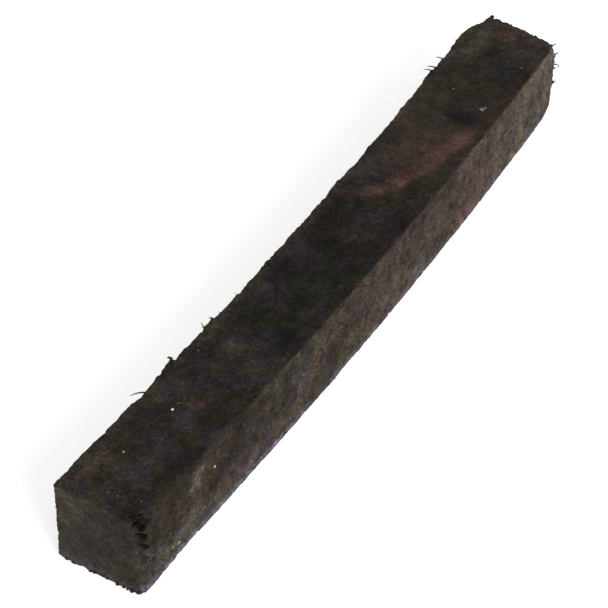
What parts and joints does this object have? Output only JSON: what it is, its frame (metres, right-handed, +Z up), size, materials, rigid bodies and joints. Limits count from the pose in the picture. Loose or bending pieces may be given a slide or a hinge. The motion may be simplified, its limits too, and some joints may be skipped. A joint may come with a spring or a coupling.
{
  "type": "charcoal stick",
  "caption": "Rough-sawn square-section stick of black drawing charcoal, slightly bowed, with sawn ends, one torn corner edge and worn far corners.",
  "frame": {"origin": "bottom centre of the bounding box, on the surface that the stick lies on", "axes": "+X along the stick from the end with the torn notch to the end that is cut askew, +Y across it on the hollow side of its bow, +Z up from its flat underside"},
  "size_m": [0.1278, 0.0162, 0.0141],
  "materials": {
    "charcoal": "matte, rough-sawn, near black with a warm brown cast and one reddish streak",
    "pale_grain": "matte pale dust grains lying on the surface"
  },
  "bodies": {
    "root": {"charcoal_stick": "charcoal"}
  },
  "joints": []
}
